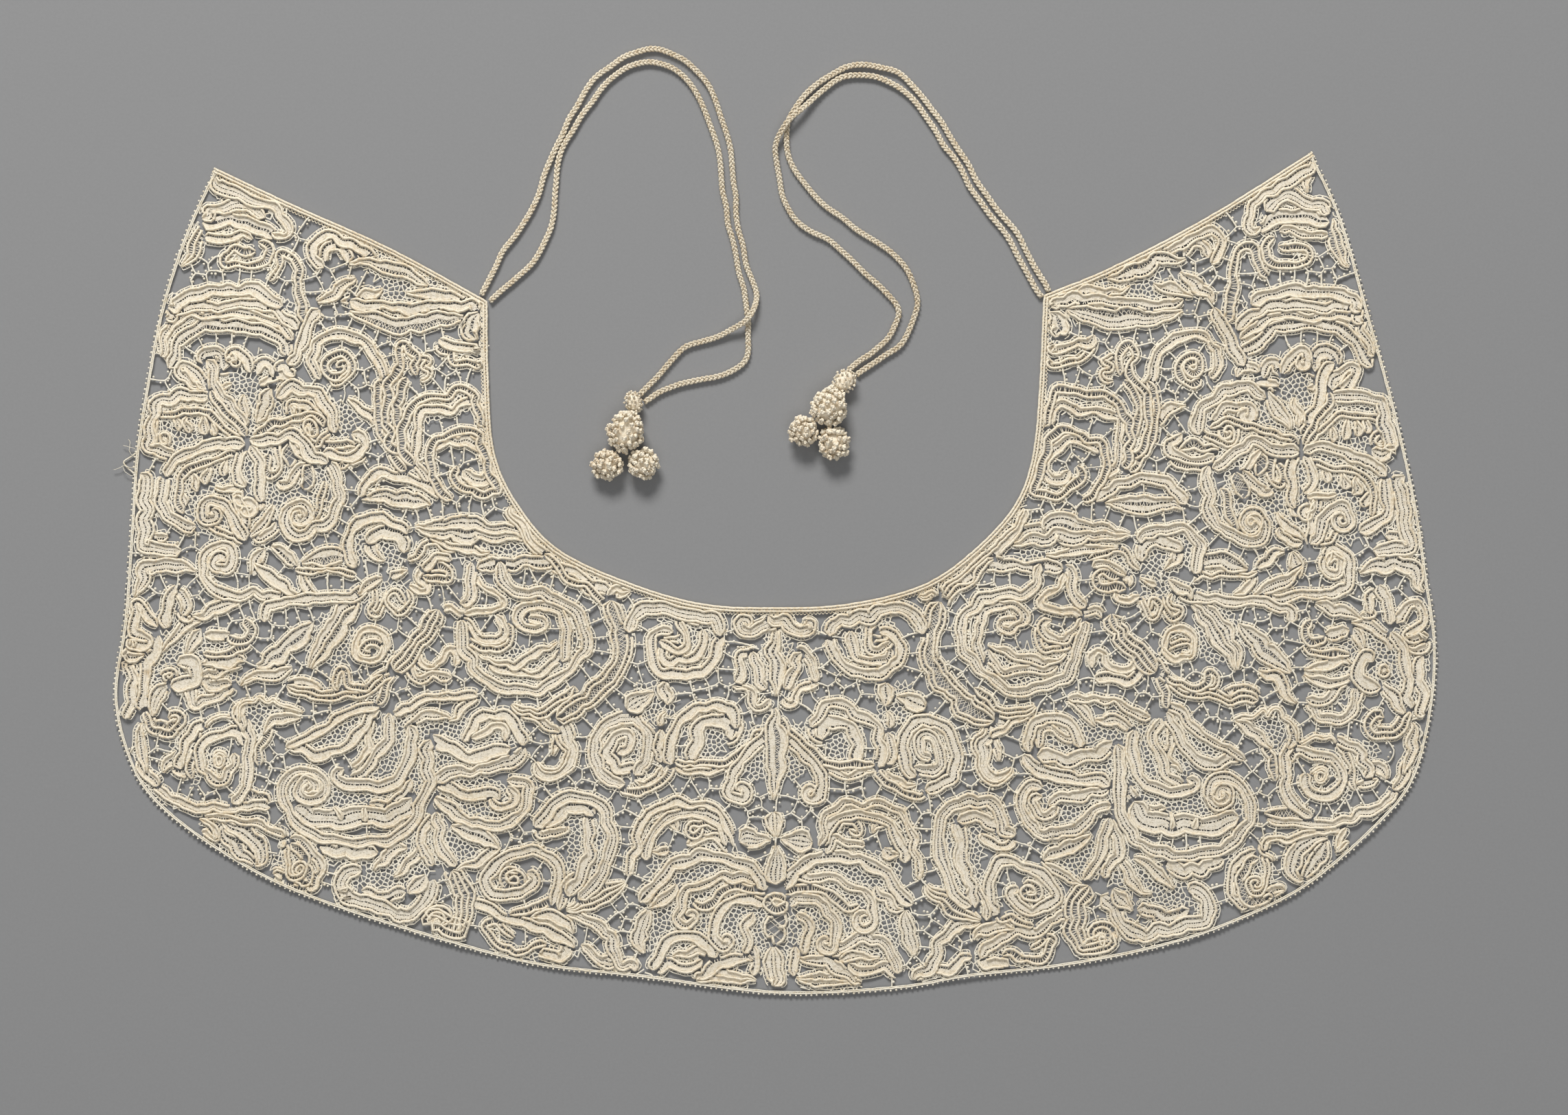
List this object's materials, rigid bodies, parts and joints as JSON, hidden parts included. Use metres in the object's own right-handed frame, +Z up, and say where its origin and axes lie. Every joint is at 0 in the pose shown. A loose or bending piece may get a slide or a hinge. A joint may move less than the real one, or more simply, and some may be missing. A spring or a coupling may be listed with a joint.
{
  "type": "bobbin lace collar",
  "caption": "Wide historic guipure lace collar laid flat: cloth tapes, scrolls and flowers joined by picot bars, edge braids, and two doubled tie cords with knotted berry tassels.",
  "frame": {"origin": "bottom middle of the lace on the table, below the middle of the neck", "axes": "+X across the collar, +Y from the back edge towards the front tips, +Z up off the table"},
  "size_m": [0.5494, 0.3939, 0.0118],
  "materials": {
    "lace_thread": "matt, unbleached linen thread",
    "edge_braid_thread": "matt, unbleached linen thread",
    "tie_thread": "matt, plaited linen cord",
    "knot_thread": "matt, knotted linen thread"
  },
  "bodies": {
    "root": {"lace_body": "lace_thread", "outer_edge_braid": "edge_braid_thread", "neck_edge_braid": "edge_braid_thread", "tie_left_a": "tie_thread", "tie_left_b": "tie_thread", "tie_right_a": "tie_thread", "tie_right_b": "tie_thread", "tassel_left_neck": "knot_thread", "tassel_left_pear": "knot_thread", "tassel_left_berry_a": "knot_thread", "tassel_left_berry_b": "knot_thread", "tassel_right_neck": "knot_thread", "tassel_right_pear": "knot_thread", "tassel_right_berry_a": "knot_thread", "tassel_right_berry_b": "knot_thread"}
  },
  "joints": []
}
